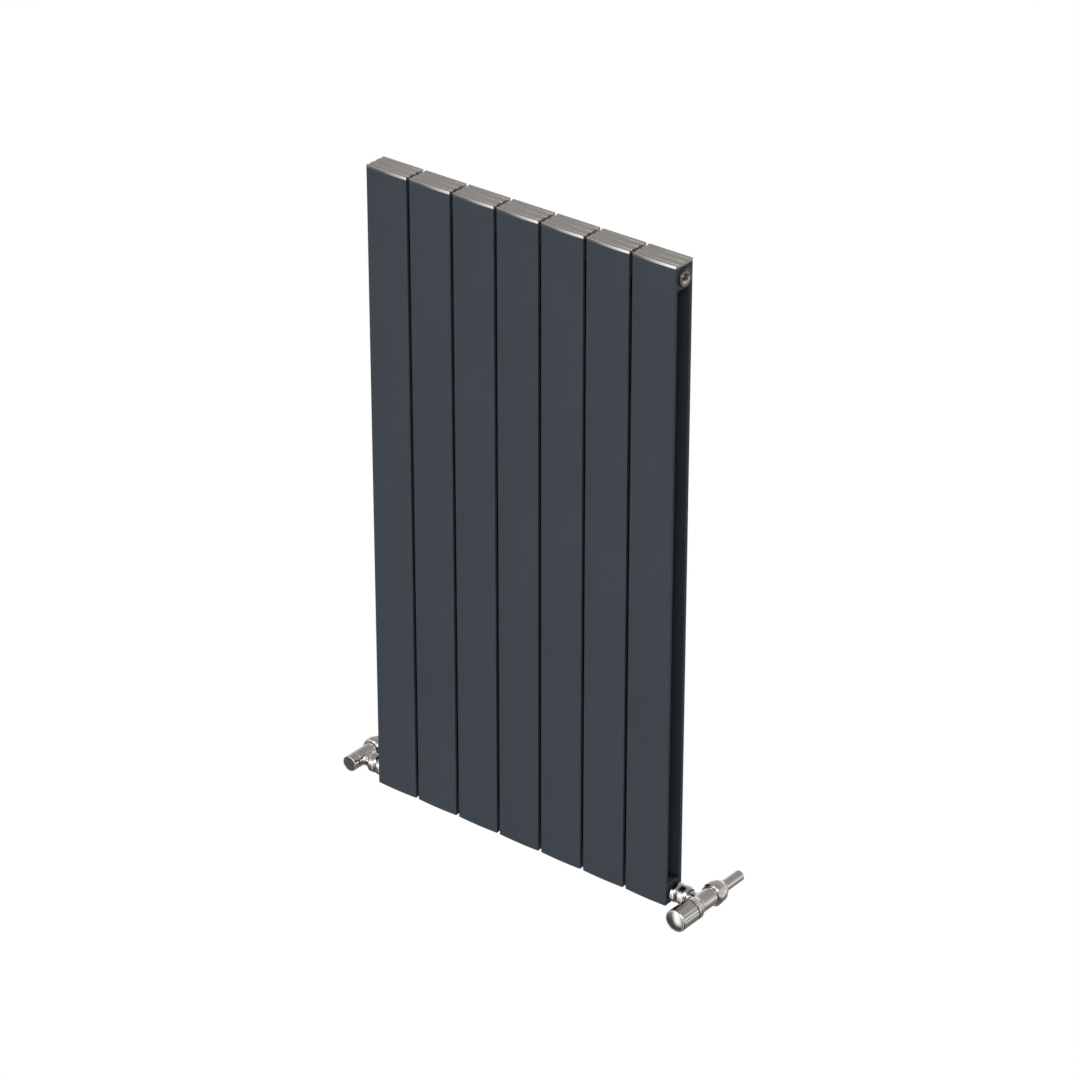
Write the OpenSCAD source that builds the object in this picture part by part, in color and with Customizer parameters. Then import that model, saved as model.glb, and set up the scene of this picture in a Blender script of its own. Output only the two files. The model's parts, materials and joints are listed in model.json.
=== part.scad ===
// Vertical wall radiator: seven bowed sections with chrome caps, a handwheel valve,
// a lockshield valve, an air vent, a blanking plug and four wall brackets.
// Millimetres. X runs along the wall, +Y into the wall, +Z up.
// The origin is the centre of the four wall screw holes, on the wall.

/* [Radiator] */
// Overall height with the caps
height = 900; // [600:50:1800]
// Width of one section
section_w = 64.2; // [60:0.1:80]
// Gap between two sections
gap = 5.4; // [4.4:0.1:8]
// Depth from the front edges to the back of the rear plates
depth = 33.4; // [32:0.1:40]
// How far the middle of each front plate stands proud of its edges
bow = 1.0; // [0.4:0.1:2.4]
// Distance from the wall to the back of the rear plates
wall_gap = 36.6; // [30:0.1:60]

/* [Top caps] */
// Thickness of the chrome caps
cap_t = 4; // [3:0.5:6]
// Depth of the grooves along the top of each cap
groove_depth = 1; // [0.3:0.1:1.5]

/* [Valves] */
// Distance from the end of the radiator to the axis of each valve
valve_offset = 45.3; // [42:0.1:60]
// Radius of the handwheel
wheel_r = 15.5; // [15:0.1:22]
// Length of the handwheel without its end cap
wheel_l = 31.2; // [31.2:0.1:40]
// Number of flutes round the handwheel
flutes = 14; // [8:1:20]
// Length of pipe that stands out of each compression nut
pipe_free = 34.7; // [20:0.1:60]

/* [Hidden] */

$fn = 96;
bow_fn = 1440;
sections = 7;
right = 1;
left = -1;
eps = 0.01;

// colours
anthracite = [0.25, 0.275, 0.30];
chrome = [0.78, 0.78, 0.77];
brass = [0.72, 0.57, 0.30];
steel = [0.62, 0.63, 0.64];
rubber = [0.08, 0.08, 0.08];
plastic = [0.16, 0.16, 0.17];

// plates, water tube and headers
front_t = 4;
rear_t = 5;
tube_r = 11;
tube_bore_r = 9;
web_w = 6;
header_h = 31;
header_bore_r = 10.25;
pitch = section_w + gap;
plate_h = height - cap_t;
tube_h = plate_h - 2 * header_h;
header_d = depth - front_t - rear_t;
bow_r = (pow(section_w / 2, 2) + bow * bow) / (2 * bow);

// wall screw holes, measured from the foot of the radiator
hole_low = 55;
hole_below_top = 95;
hole_high = height - hole_below_top;
hole_r = 3.5;

// places in the frame of the whole radiator
z_bottom = -(hole_low + hole_high) / 2;
z_top = z_bottom + height;
y_rear = -wall_gap;
y_front = y_rear - depth;
y_mid = y_front + depth / 2;
z_low = z_bottom + header_h / 2;
z_high = z_top - cap_t - header_h / 2;
z_hole = z_top - hole_below_top;
x_end = sections / 2 * pitch - gap / 2;
valve_x = x_end + valve_offset;

// thread of nipples, plugs and tails
thread_r = 10.2;
thread_l = 12;
nipple_l = 30;
nipple_bore_r = 8.2;
ring_r = 12;
fit = 0.05;

// locating pegs of the caps
peg_r = 2;
peg_l = 4;
peg_x = section_w * 0.31;
peg_under = 0.5;
groove_w = 3;
groove_at = [0.14, 0.485, 0.83];

// air vent and blanking plug, stations outwards from the header face
gasket_t = 1.2;
flange_r = 12;
flange_face = 3.2;
flange_edge = 0.6;
vent_cup_floor = 1.8;
vent_rim = 4.6;
vent_rim_r = 7.2;
vent_rim_foot_r = 7.6;
vent_cup_r = 6.6;
vent_cup_floor_r = 6.2;
vent_hole_r = 1;
bleed_r = 3;
bleed_seat = -8.7;
bleed_tip = -8.4;
bleed_head = 2.2;
bleed_key_w = 4.4;
bleed_key_end = 5.4;
slot_w = 1;
slot_depth = 1.2;
key_socket_r = 5.77;
key_socket_depth = 7.2;

// union between a header and a valve, stations outwards from the header face
seal_t = 1.5;
seal_r = 13.4;
tail_nut_r = 14;
tail_nut_back_r = 12.6;
tail_nut_front_r = 11.8;
tail_nut_corner_r = 15.2;
tail_nut_from = 4;
tail_nut_to = 9.5;
tail_nut_end = 12;
tail_collar = 17;
tail_end = 20;
tail_bore_r = 6;
tail_tube_r = 8;
union_start = 12.5;
union_from = 14.5;
union_to = 24;
union_end = 26.2;
union_r = 13.8;
union_back_r = 11.8;
union_front_r = 12.2;
union_corner_r = 15.1;
neck_shoulder = 26.5;
neck_r = 9;
neck_thread_r = 10.5;
neck_bore_r = 6.5;

// stations along the axis of a valve from the crossing, + towards the wall
body_r = 12;
lock_body_r = 11.15;
mouth = -16.4;
mouth_r = 15.5;
mouth_cone_end = -7.7;
lock_mouth = -12.7;
chamber_r = 8.5;
seat = 5;
seat_bore_r = 6;
socket_start = 14;
socket_r = 7.6;
body_end = 19.8;
body_thread_r = 11;
body_thread_end = 30;
olive_seat = 27;
olive_seat_r = 9;
nut_start = body_end + 0.1;
nut_cavity_end = 33.6;
nut_end = 46.1;
nut_r = 16;
nut_corner_r = 17.6;
// front edge of the nut as [radius, station], then its cone down to the pipe
nut_lead = [[13.6, nut_start], [nut_r, nut_start + 1.7]];
nut_cone = [[nut_r, 28.5], [14.4, 36.5], [10.8, 43], [8.4, nut_end]];

// moving parts inside a valve
travel = 4;
stem_r = 4;
screw_r = 3.5;
disc_r = 8.2;
disc_t = 2.2;
disc_boss_r = 5.5;
disc_boss_l = 8;
washer_r = 7.6;
washer_t = 2.5;
spindle_tip = -3.3;
shoulder_back = -12.5;
shoulder_front = -13.7;
shoulder_r = 5.8;
pocket_r = 6.1;
pocket_floor = -13.8;
spigot_end = -5.4;
oring_from = -17.6;
oring_to = -15.4;
oring_groove_r = 5.9;

// handwheel stations, - towards the room
collar_front = -23.8;
collar_edge = 0.8;
nose_front = -30;
nose_r = 7;
wheel_back = -25;
wheel_front = wheel_back - wheel_l;
square_from = -38.2;
square_to = -44;
square_w = 5.6;
screw_seat = -46;
wheel_edge = 2.2;
end_cap_r = wheel_r - 2.5;
end_cap_t = 2.2;
dome_h = 1.6;

// lockshield cap stations
lock_collar_r = 9.2;
lock_collar_front = -20;
lock_square_to = -23.6;
lock_square_w = 5;
lock_cap_r = 11;
lock_cap_front = -25.2;
lock_cap_back = -13;
lock_cap_floor = -24;

// pipe
pipe_r = 7.5;
pipe_bore_r = 6.5;
pipe_swage_r = 7.3;
olive_from = 27.2;
olive_to = 33.4;
pipe_start = 14.1;
pipe_swage_end = nut_end + 0.5;
pipe_end = pipe_swage_end + pipe_free;

// wall brackets
bracket_x = (sections / 2 - 1) * pitch;
plate_w = 30;
bracket_plate_t = 3;
plate_margin = 14;
blade_t = gap - 1.4;
cradle_r = 13.45;
cradle_half = 9;

function section_x(i) = (i - (sections + 1) / 2) * pitch;

// ---- helpers ----

// Solid of revolution along +Y: points are [radius, station]
module turned_y(points) {
    rotate([-90, 0, 0]) rotate_extrude() polygon(points);
}

// Solid of revolution along +X: points are [radius, station]
module turned_x(points) {
    rotate([0, 90, 0]) rotate_extrude() polygon(points);
}

// Round bar or bore along +Y from one station to another
module bar_y(r, from, to) {
    translate([0, from, 0]) rotate([-90, 0, 0]) cylinder(r = r, h = to - from);
}

// Round bar or bore along +X from one station to another
module bar_x(r, from, to) {
    translate([from, 0, 0]) rotate([0, 90, 0]) cylinder(r = r, h = to - from);
}

// Hexagonal bar along +X, by the radius over its corners
module bar_x_hex(r, from, to) {
    translate([from, 0, 0]) rotate([0, 90, 0]) cylinder(r = r, h = to - from, $fn = 6);
}

// Hexagonal bar along +Y, by the radius over its corners
module bar_y_hex(r, from, to) {
    translate([0, from, 0]) rotate([-90, 0, 0]) cylinder(r = r, h = to - from, $fn = 6);
}

// Crossing point of a valve; a valve on the left is the mirror image
module at_valve(side) {
    translate([side * valve_x, y_mid, z_low])
        mirror([side == left ? 1 : 0, 0, 0]) children();
}

// Centre of a header bore on the end face of the radiator, +X outwards
module at_end(side, z) {
    translate([side * x_end, y_mid, z])
        mirror([side == left ? 1 : 0, 0, 0]) children();
}

// Both hubs of one gap between sections, used by what joins the headers
module at_hubs() {
    for (k = [1 : sections - 1], z = [z_low, z_high])
        translate([(k - sections / 2) * pitch, y_mid, z]) children();
}

// ---- sections, headers and caps ----

// Outline of one section from above: bowed front, flat back
module section_outline() {
    intersection() {
        translate([0, bow_r - bow]) circle(r = bow_r, $fn = bow_fn);
        translate([-section_w / 2, -bow]) square([section_w, depth + bow]);
    }
}

// Front and rear plates of one extrusion
module plates_outline() {
    difference() {
        section_outline();
        translate([-section_w / 2 - 1, front_t]) square([section_w + 2, header_d]);
    }
}

// Water tube and its webs
module tube_outline() {
    difference() {
        union() {
            translate([0, depth / 2]) circle(r = tube_r);
            translate([-web_w / 2, front_t - eps]) square([web_w, header_d + 2 * eps]);
        }
        translate([0, depth / 2]) circle(r = tube_bore_r);
    }
}

module section(i) {
    color(anthracite)
        translate([section_x(i), y_front, z_bottom]) {
            linear_extrude(plate_h) plates_outline();
            translate([0, 0, header_h]) linear_extrude(tube_h) tube_outline();
        }
}

// Header block between the plates, with the cross bore and the port to the tube
module header_block(port_up) {
    difference() {
        translate([-section_w / 2, -header_d / 2 + (front_t - rear_t) / 2, -header_h / 2])
            cube([section_w, header_d, header_h]);
        bar_x(header_bore_r, -section_w / 2 - 1, section_w / 2 + 1);
        mirror([0, 0, port_up ? 0 : 1]) cylinder(r = tube_bore_r, h = header_h / 2 + 1);
    }
}

module top_header(i) {
    color(anthracite)
        translate([section_x(i), y_mid, z_high]) difference() {
            header_block(false);
            for (x = [-peg_x, peg_x])
                translate([x, 0, header_h / 2 - peg_l - peg_under])
                    cylinder(r = peg_r, h = peg_l + 1);
        }
}

module bottom_header(i) {
    color(anthracite) translate([section_x(i), y_mid, z_low]) header_block(true);
}

// Groove that runs along a cap parallel to its bowed front
module cap_groove(from_front) {
    translate([0, bow_r - bow]) difference() {
        circle(r = bow_r - from_front + groove_w / 2, $fn = bow_fn);
        circle(r = bow_r - from_front - groove_w / 2, $fn = bow_fn);
    }
}

module top_cap(i) {
    color(chrome) translate([section_x(i), y_front, z_top - cap_t]) {
        difference() {
            linear_extrude(cap_t) section_outline();
            translate([0, 0, cap_t - groove_depth]) linear_extrude(groove_depth + 1)
                for (f = groove_at) cap_groove(f * depth);
        }
        for (x = [-peg_x, peg_x])
            translate([x, depth / 2, -peg_l]) cylinder(r = peg_r - fit, h = peg_l + 1);
    }
}

module nipples() {
    color(steel) at_hubs() difference() {
        bar_x(thread_r, -nipple_l / 2, nipple_l / 2);
        bar_x(nipple_bore_r, -nipple_l / 2 - 1, nipple_l / 2 + 1);
    }
}

module spacer_rings() {
    color(rubber) at_hubs() difference() {
        bar_x(ring_r, -gap / 2, gap / 2);
        bar_x(header_bore_r, -gap / 2 - 1, gap / 2 + 1);
    }
}

// ---- air vent and blanking plug, stations outwards from the header face ----

module air_vent_plug() {
    color(chrome) at_end(right, z_high) turned_x([
        [vent_hole_r, -thread_l], [thread_r, -thread_l], [thread_r, gasket_t],
        [flange_r, gasket_t], [flange_r, flange_face - flange_edge],
        [flange_r - flange_edge, flange_face], [vent_rim_foot_r, flange_face],
        [vent_rim_r, vent_rim], [vent_cup_r, vent_rim], [vent_cup_floor_r, vent_cup_floor],
        [bleed_r + fit, vent_cup_floor], [bleed_r + fit, bleed_seat], [vent_hole_r, bleed_seat]]);
}

module bleed_screw() {
    color(chrome) at_end(right, z_high) difference() {
        union() {
            turned_x([[0, bleed_tip], [bleed_r - 1, bleed_tip], [bleed_r, bleed_tip + 1],
                [bleed_r, bleed_head], [0, bleed_head]]);
            translate([bleed_head - 1, -bleed_key_w / 2, -bleed_key_w / 2])
                cube([bleed_key_end - bleed_head + 1, bleed_key_w, bleed_key_w]);
        }
        translate([bleed_key_end - slot_depth, -bleed_key_w, -slot_w / 2])
            cube([slot_depth + 1, 2 * bleed_key_w, slot_w]);
    }
}

module blanking_plug() {
    color(chrome) at_end(left, z_high) difference() {
        turned_x([[0, -thread_l], [thread_r, -thread_l], [thread_r, gasket_t],
            [flange_r, gasket_t], [flange_r, flange_face - flange_edge],
            [flange_r - flange_edge, flange_face], [0, flange_face]]);
        bar_x_hex(key_socket_r, flange_face - key_socket_depth, flange_face + 1);
    }
}

module plug_gaskets() {
    color(rubber) for (side = [left, right]) at_end(side, z_high) difference() {
        bar_x(ring_r, 0, gasket_t);
        bar_x(header_bore_r, -1, gasket_t + 1);
    }
}

// ---- union between a header and a valve ----

module radiator_tails() {
    color(chrome) for (side = [left, right]) at_end(side, z_low) difference() {
        union() {
            bar_x(thread_r, -thread_l, seal_t + 1);
            intersection() {
                turned_x([[0, seal_t], [tail_nut_back_r, seal_t], [tail_nut_r, tail_nut_from],
                    [tail_nut_r, tail_nut_to], [tail_nut_front_r, tail_nut_end],
                    [0, tail_nut_end]]);
                bar_x_hex(tail_nut_corner_r, 0, tail_nut_end + 1);
            }
            bar_x(tail_tube_r, tail_nut_end - 1, tail_end);
            bar_x(neck_thread_r - 0.7, tail_collar, tail_end);
        }
        bar_x(tail_bore_r, -thread_l - 1, tail_end + 1);
    }
}

module tail_seals() {
    color(rubber) for (side = [left, right]) at_end(side, z_low) difference() {
        bar_x(seal_r, 0, seal_t);
        bar_x(header_bore_r, -1, seal_t + 1);
    }
}

module union_nuts() {
    color(chrome) for (side = [left, right]) at_end(side, z_low) difference() {
        intersection() {
            turned_x([[0, union_start], [union_back_r, union_start], [union_r, union_from],
                [union_r, union_to], [union_front_r, union_end], [0, union_end]]);
            bar_x_hex(union_corner_r, union_start - 1, union_end + 1);
        }
        bar_x(tail_tube_r + 0.1, union_start - 1, union_end + 1);
        bar_x(neck_thread_r + fit, tail_collar - 0.1, union_end + 1);
    }
}

// ---- valve bodies ----

// Neck that leads from the crossing of a valve to its union, along -X
module neck() {
    bar_x(neck_r, -(valve_offset - neck_shoulder), 0);
    bar_x(neck_thread_r, -(valve_offset - tail_end), -(valve_offset - neck_shoulder));
}

// Water way, seat, pipe socket and olive seat, cut out of a valve body
module body_bores(mouth_station) {
    bar_y(chamber_r, mouth_station - 1, seat);
    bar_y(seat_bore_r, seat - 1, socket_start + 1);
    bar_y(socket_r, socket_start, body_thread_end + 1);
    bar_y(olive_seat_r, olive_seat, body_thread_end + 1);
    bar_x(neck_bore_r, -valve_offset, 0);
}

module valve_body() {
    color(chrome) at_valve(right) difference() {
        union() {
            turned_y([[0, mouth], [mouth_r, mouth], [body_r, mouth_cone_end], [body_r, body_end],
                [body_thread_r, body_end], [body_thread_r, body_thread_end], [0, body_thread_end]]);
            neck();
        }
        body_bores(mouth);
    }
}

module lockshield_body() {
    color(chrome) at_valve(left) difference() {
        union() {
            bar_y(lock_body_r, lock_mouth, body_end);
            bar_y(body_thread_r, body_end - 1, body_thread_end);
            neck();
        }
        body_bores(lock_mouth);
    }
}

module compression_nuts() {
    color(chrome) for (side = [left, right]) at_valve(side) difference() {
        intersection() {
            turned_y(concat([[0, nut_start]], nut_lead, nut_cone, [[0, nut_end]]));
            bar_y_hex(nut_corner_r, 0, nut_end + 1);
        }
        bar_y(body_thread_r + fit, nut_start - 1, nut_cavity_end);
        bar_y(pipe_r + 0.15, nut_cavity_end - 1, nut_end + 1);
    }
}

module olives() {
    inner = pipe_swage_r + fit;
    outer = olive_seat_r - fit;
    color(brass) for (side = [left, right]) at_valve(side)
        turned_y([[inner, olive_from], [outer - 0.6, olive_from], [outer, olive_from + 1],
            [outer, olive_to - 1.4], [outer - 0.7, olive_to], [inner, olive_to]]);
}

// Pipe tail, filed down a little where the olive and the fitting grip it
module pipe_tail() {
    color(chrome) difference() {
        union() {
            bar_y(pipe_swage_r, pipe_start, pipe_swage_end);
            bar_y(pipe_r, pipe_swage_end, pipe_end);
        }
        bar_y(pipe_bore_r, pipe_start - 1, pipe_end + 1);
    }
}

module supply_pipe() {
    at_valve(right) pipe_tail();
}

module return_pipe() {
    at_valve(left) pipe_tail();
}

// ---- headwork, spindles and discs ----

// Spigot, shoulder pocket and O-ring groove shared by both headworks
module headwork_bores(front) {
    bar_y(stem_r + fit, front - 1, 0);
    bar_y(pocket_r, pocket_floor, 0);
    bar_y(oring_groove_r, oring_from, oring_to);
}

module valve_headwork() {
    color(chrome) at_valve(right) difference() {
        union() {
            bar_y(chamber_r - fit, mouth - 1, spigot_end);
            turned_y([[0, collar_front], [mouth_r - collar_edge, collar_front],
                [mouth_r, collar_front + collar_edge], [mouth_r, mouth], [0, mouth]]);
            bar_y(nose_r, nose_front, collar_front + 1);
        }
        headwork_bores(nose_front);
    }
}

module lockshield_headwork() {
    color(brass) at_valve(left) difference() {
        union() {
            bar_y(chamber_r - fit, lock_mouth - 1, spigot_end);
            turned_y([[0, lock_collar_front], [lock_collar_r - 0.5, lock_collar_front],
                [lock_collar_r, lock_collar_front + 0.5], [lock_collar_r, lock_mouth],
                [0, lock_mouth]]);
        }
        headwork_bores(lock_collar_front);
    }
}

// Stem, shoulder and driving screw of a spindle, up to the front of its round stem
module spindle_shaft(stem_front) {
    turned_y([[0, stem_front], [stem_r, stem_front], [stem_r, shoulder_front],
        [shoulder_r, shoulder_front], [shoulder_r, shoulder_back], [screw_r, shoulder_back],
        [screw_r, spindle_tip], [0, spindle_tip]]);
}

// Square end of a spindle
module spindle_square(w, from, to) {
    translate([-w / 2, to, -w / 2]) cube([w, from - to + 1, w]);
}

module valve_spindle() {
    color(brass) at_valve(right) difference() {
        union() {
            spindle_shaft(square_from + 0.2);
            spindle_square(square_w, square_from, square_to);
        }
        bar_y(2.05, square_to - 1, square_to + 10);
    }
}

module lockshield_spindle() {
    color(brass) at_valve(left) {
        spindle_shaft(lock_collar_front - 0.5);
        spindle_square(lock_square_w, lock_collar_front - 0.5, lock_square_to);
    }
}

// Disc with the threaded boss that the spindle drives along
module disc() {
    turned_y([[0, disc_t], [disc_r, disc_t], [disc_r, 0], [disc_boss_r, 0],
        [disc_boss_r, -disc_boss_l], [screw_r + fit, -disc_boss_l], [screw_r + fit, 1], [0, 1]]);
}

module valve_disc() {
    color(brass) at_valve(right) disc();
}

module lockshield_disc() {
    color(brass) at_valve(left) disc();
}

module valve_washer() {
    color(rubber) at_valve(right) bar_y(washer_r, disc_t, disc_t + washer_t);
}

module lockshield_washer() {
    color(rubber) at_valve(left) bar_y(washer_r, disc_t, disc_t + washer_t);
}

module gland_orings() {
    section_r = 0.9;
    color(rubber) for (side = [left, right]) at_valve(side)
        translate([0, (oring_from + oring_to) / 2, 0]) rotate([-90, 0, 0])
            rotate_extrude() translate([stem_r + fit + section_r, 0]) circle(r = section_r, $fn = 32);
}

// ---- handwheel and lockshield cap ----

module handwheel() {
    flute_r = 4;
    flute_depth = 0.5;
    color(chrome) at_valve(right) difference() {
        turned_y([[0, wheel_front], [wheel_r - wheel_edge, wheel_front],
            [wheel_r - 0.3 * wheel_edge, wheel_front + 0.3 * wheel_edge],
            [wheel_r, wheel_front + wheel_edge], [wheel_r, wheel_back], [0, wheel_back]]);
        for (i = [1 : flutes]) rotate([0, i * 360 / flutes, 0])
            translate([wheel_r + flute_r - flute_depth, 0, 0])
                bar_y(flute_r, wheel_front + 2.5, wheel_back + 1);
        bar_y(nose_r + 1, nose_front - 1, wheel_back + 1);
        bar_y(stem_r + fit, square_from, nose_front);
        spindle_square(square_w + 2 * fit, square_from, square_to - 0.2);
        bar_y(2.2, screw_seat - 1, square_to);
        bar_y(5, wheel_front, screw_seat);
        bar_y(end_cap_r + fit, wheel_front - 1, wheel_front + end_cap_t);
    }
}

module handwheel_screw() {
    head_r = 3.8;
    head_h = 2.9;
    color(steel) at_valve(right) difference() {
        union() {
            bar_y(head_r, screw_seat - head_h, screw_seat);
            bar_y(2, screw_seat - 1, square_to + 9);
        }
        translate([-head_r - 1, screw_seat - head_h - 1, -0.5]) cube([2 * head_r + 2, 2.2, 1]);
    }
}

module handwheel_end_cap() {
    color(chrome) at_valve(right) turned_y([
        [0, wheel_front + end_cap_t], [end_cap_r, wheel_front + end_cap_t],
        [end_cap_r, wheel_front], [end_cap_r - 3, wheel_front - dome_h * 0.5],
        [end_cap_r - 8, wheel_front - dome_h * 0.87], [0, wheel_front - dome_h]]);
}

module lockshield_cap() {
    color(chrome) at_valve(left) difference() {
        turned_y([[0, lock_cap_front], [lock_cap_r - 0.6, lock_cap_front],
            [lock_cap_r, lock_cap_front + 0.6], [lock_cap_r, lock_cap_back], [0, lock_cap_back]]);
        bar_y(lock_collar_r + fit, lock_cap_floor, lock_cap_back + 1);
    }
}

// ---- wall brackets ----

// Wall plate with one screw hole, and a blade in the gap between two sections
module bracket_plate(z_from, z_to, z_screw) {
    difference() {
        translate([-plate_w / 2, -bracket_plate_t, z_from])
            cube([plate_w, bracket_plate_t, z_to - z_from]);
        translate([0, 0, z_screw]) bar_y(hole_r, -bracket_plate_t - 1, 1);
    }
}

// Upright blade from its outline in the YZ plane, less the cradle round a hub
module bracket_blade(z_hub, outline) {
    difference() {
        translate([blade_t / 2, 0, 0]) rotate([0, -90, 0])
            linear_extrude(blade_t) polygon([for (p = outline) [p[1], p[0]]]);
        translate([0, y_mid, z_hub]) bar_x(cradle_r, -blade_t, blade_t);
    }
}

module upper_wall_brackets() {
    color(steel) for (x = [-bracket_x, bracket_x]) translate([x, 0, 0]) {
        bracket_plate(z_hole - plate_margin, z_high - plate_margin, z_hole);
        bracket_blade(z_high, [
            [-bracket_plate_t, z_high - 50], [-bracket_plate_t, z_high - 16],
            [y_mid + cradle_half + 8, z_high - 9], [y_mid + cradle_half, z_high - 9],
            [y_mid, z_high - 9], [y_mid - cradle_half, z_high - 9],
            [y_mid - cradle_half, z_high - 18], [y_mid + 4, z_high - 24]]);
    }
}

module lower_wall_brackets() {
    z_screw = z_bottom + hole_low;
    color(steel) for (x = [-bracket_x, bracket_x]) translate([x, 0, 0]) {
        bracket_plate(z_low - 11.5, z_screw + plate_margin, z_screw);
        bracket_blade(z_low, [
            [-bracket_plate_t, z_low - cradle_half], [-bracket_plate_t, z_low + cradle_half],
            [y_mid + 8, z_low + cradle_half], [y_mid + 8, z_low - cradle_half]]);
    }
}

// Plastic liners between the cradles and the spacer rings
module pad_ring() {
    difference() {
        bar_x(cradle_r - fit, -blade_t / 2, blade_t / 2);
        bar_x(ring_r + fit, -blade_t, blade_t);
    }
}

module bracket_pads() {
    side = 2 * cradle_half - 2;
    color(plastic) for (x = [-bracket_x, bracket_x]) {
        translate([x, y_mid, z_high]) intersection() {
            pad_ring();
            translate([-blade_t, -side / 2, -20]) cube([2 * blade_t, side, 20]);
        }
        translate([x, y_mid, z_low]) intersection() {
            pad_ring();
            translate([-blade_t, 0, -side / 2]) cube([2 * blade_t, 20, side]);
        }
    }
}

// ---- nodes ----

for (i = [1 : sections]) {
    section(i);
    top_header(i);
    bottom_header(i);
    top_cap(i);
}
nipples();
spacer_rings();
air_vent_plug();
bleed_screw();
blanking_plug();
plug_gaskets();
radiator_tails();
tail_seals();
union_nuts();
compression_nuts();
olives();
gland_orings();
valve_body();
valve_headwork();
valve_spindle();
valve_disc();
valve_washer();
handwheel();
handwheel_screw();
handwheel_end_cap();
supply_pipe();
lockshield_body();
lockshield_headwork();
lockshield_spindle();
lockshield_disc();
lockshield_washer();
lockshield_cap();
return_pipe();
upper_wall_brackets();
lower_wall_brackets();
bracket_pads();
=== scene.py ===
import json
import math

import bmesh
import bpy
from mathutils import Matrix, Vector
from mathutils.geometry import tessellate_polygon


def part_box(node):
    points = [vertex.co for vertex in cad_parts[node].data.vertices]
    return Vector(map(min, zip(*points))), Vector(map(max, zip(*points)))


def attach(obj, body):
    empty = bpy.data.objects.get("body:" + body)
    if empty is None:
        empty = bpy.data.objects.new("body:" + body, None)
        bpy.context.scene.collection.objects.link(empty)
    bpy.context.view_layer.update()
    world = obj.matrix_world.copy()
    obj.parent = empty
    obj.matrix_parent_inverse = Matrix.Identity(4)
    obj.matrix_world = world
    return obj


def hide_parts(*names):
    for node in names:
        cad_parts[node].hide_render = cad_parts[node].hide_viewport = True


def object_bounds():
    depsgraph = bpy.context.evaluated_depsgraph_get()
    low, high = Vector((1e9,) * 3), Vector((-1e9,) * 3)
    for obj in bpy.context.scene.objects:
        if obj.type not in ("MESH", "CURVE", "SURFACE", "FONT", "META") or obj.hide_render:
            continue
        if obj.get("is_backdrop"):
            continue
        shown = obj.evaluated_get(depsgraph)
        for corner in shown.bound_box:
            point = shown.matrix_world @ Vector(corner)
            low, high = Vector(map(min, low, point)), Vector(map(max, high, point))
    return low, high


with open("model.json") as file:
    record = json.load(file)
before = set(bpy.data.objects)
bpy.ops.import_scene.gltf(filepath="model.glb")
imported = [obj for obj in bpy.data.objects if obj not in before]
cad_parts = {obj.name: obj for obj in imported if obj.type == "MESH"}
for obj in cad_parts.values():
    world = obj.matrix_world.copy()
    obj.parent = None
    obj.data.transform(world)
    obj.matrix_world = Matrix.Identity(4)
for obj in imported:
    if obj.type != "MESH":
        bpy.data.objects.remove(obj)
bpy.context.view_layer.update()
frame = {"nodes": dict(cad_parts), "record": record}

# A vertical wall radiator in one frame with its CAD model: X along the wall, +Y into the wall, +Z up.
# Shapes below are worked out in millimetres and become metres when a piece is made.
MM = 0.001
RECORD = frame["record"]
BODY_OF = {n: body for body, nodes in RECORD["behaviour"]["bodies"].items() for n in nodes}
SECTIONS = range(1, 8)
RIGHT = 1
LEFT = -1
INTO_WALL = (0, 1, 0)


def box(node):
    """Lowest and highest corner of a CAD node, in millimetres."""
    low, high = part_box(node)
    return low / MM, high / MM


# ---- sizes and places ----

# plates of one section, which reach a little past their CAD width at each side
FRONT_T = 4.0
REAR_T = 5.0
WEB_W = 6.0
TUBE_R = 11.0
TUBE_BORE_R = 9.0
PLATE_EDGE = 0.5
PLATE_BACK_EDGE = 0.4
PLATE_END_EDGE = 0.5
PLATE_OVER = 0.3
BLOCK_EDGE = 0.45
# how far pieces of one body reach into each other
LAP = 0.05

first_low, first_high = box("section_1")
header_low, header_high = box("top_header_1")
cap_high = box("top_cap_1")[1]
foot_low, foot_high = box("bottom_header_1")
last_high = box("section_7")[1]

Z_PLATES = first_high.z
Z_TOP = cap_high.z
Y_REAR = first_high.y
Y_FRONT = header_low.y - FRONT_T
BOW = Y_FRONT - first_low.y
DEPTH = Y_REAR - Y_FRONT
Y_MID = (Y_FRONT + Y_REAR) / 2
HALF_W = (first_high.x - first_low.x) / 2
WIDE = HALF_W + PLATE_OVER
BOW_R = (HALF_W ** 2 + BOW ** 2) / (2 * BOW)
X_END = last_high.x
Z_LOW = (foot_low.z + foot_high.z) / 2
Z_HIGH = (header_low.z + header_high.z) / 2
HEADER_BORE_R = 10.25

# top caps
CAP_T = Z_TOP - Z_PLATES
LIP_R = 0.7
GROOVE_W = 3.0
GROOVE_DEPTH = 1.0
GROOVES_AT = (0.14, 0.485, 0.83)
CAP_END_EDGE = 0.2
SAWN_MARGIN = 0.5
SAWN_DROP = 1.1

# valves, by the crossing of body and neck
supply_low, supply_high = box("supply_pipe")
wheel_low, wheel_high = box("handwheel")
dome_low, dome_high = box("handwheel_end_cap")
shield_low, shield_high = box("lockshield_cap")
VALVE_X = (supply_low.x + supply_high.x) / 2
VALVE_OFFSET = VALVE_X - X_END
PIPE_R = (supply_high.x - supply_low.x) / 2
PIPE_BORE_R = PIPE_R - 1.0
WHEEL_R = (wheel_high.x - wheel_low.x) / 2


# ---- meshes ----

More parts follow.
